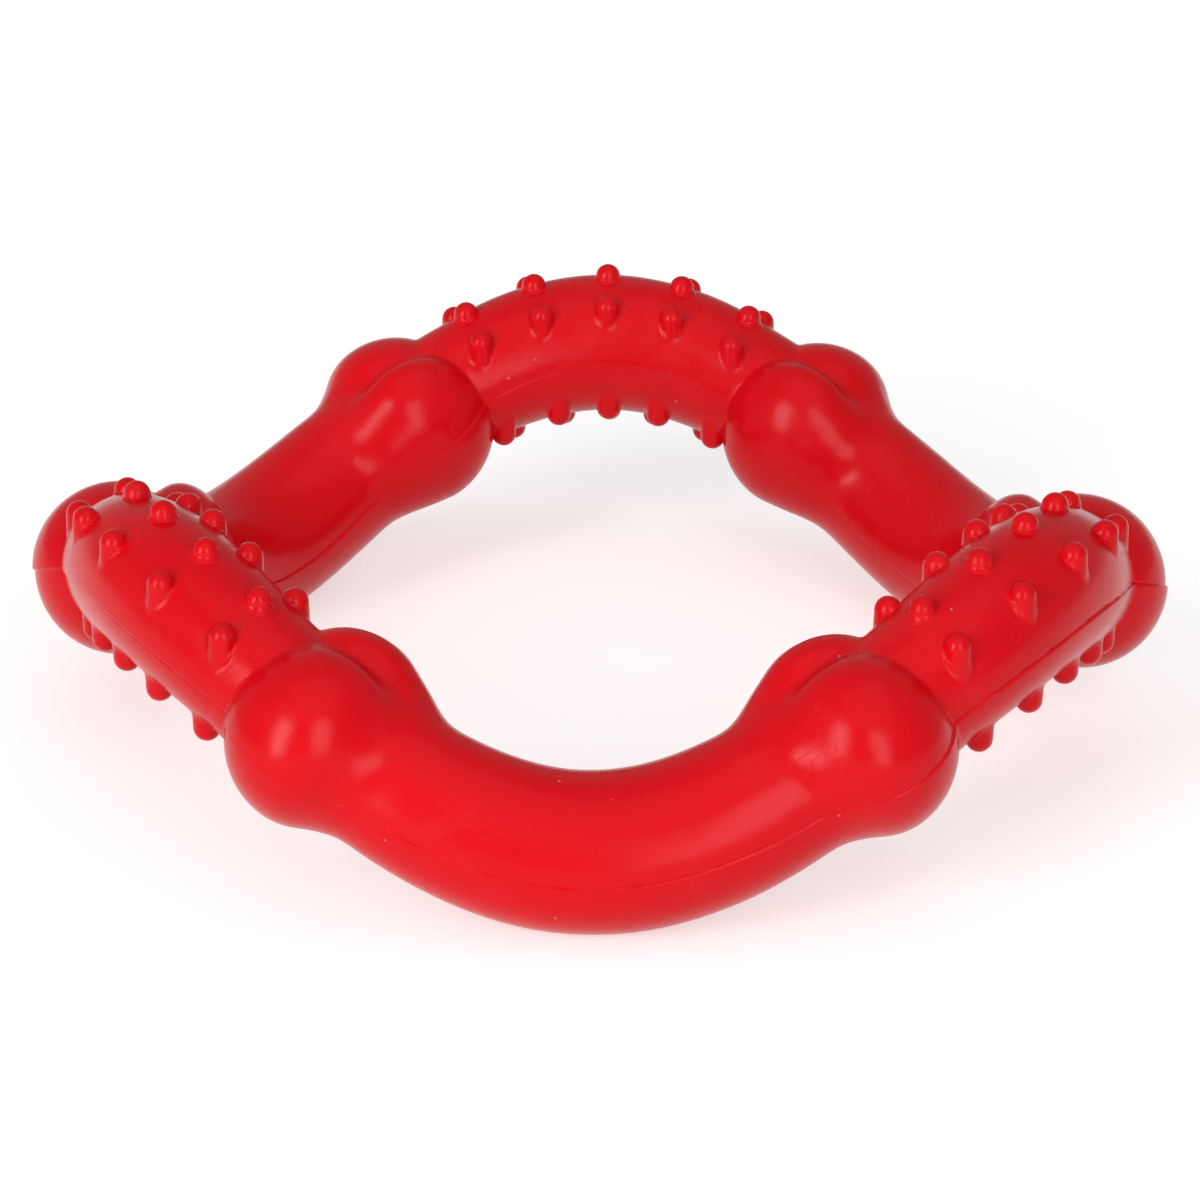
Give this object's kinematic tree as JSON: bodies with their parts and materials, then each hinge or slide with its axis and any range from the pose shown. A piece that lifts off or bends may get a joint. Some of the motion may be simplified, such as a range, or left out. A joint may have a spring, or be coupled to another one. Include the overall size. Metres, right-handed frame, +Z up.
{
  "type": "dog toy ring",
  "caption": "Wavy chewing ring in solid rubber: smooth bones with knobbed ends take turns with round arches covered in short studs.",
  "frame": {"origin": "on the ring's axis, in the plane of the small flats that its three bones rest on", "axes": "+Z up along the ring's axis; -Y through the middle of the front bone, +Y through the middle of the back studded arch, +X to the right seen from the front"},
  "size_m": [0.1508, 0.1423, 0.0432],
  "materials": {
    "red_rubber": "semi-gloss natural rubber, moulded"
  },
  "bodies": {
    "root": {"bone_front": "red_rubber", "bone_back_right": "red_rubber", "bone_back_left": "red_rubber", "studded_arch_right": "red_rubber", "studded_arch_back": "red_rubber", "studded_arch_left": "red_rubber"}
  },
  "joints": []
}
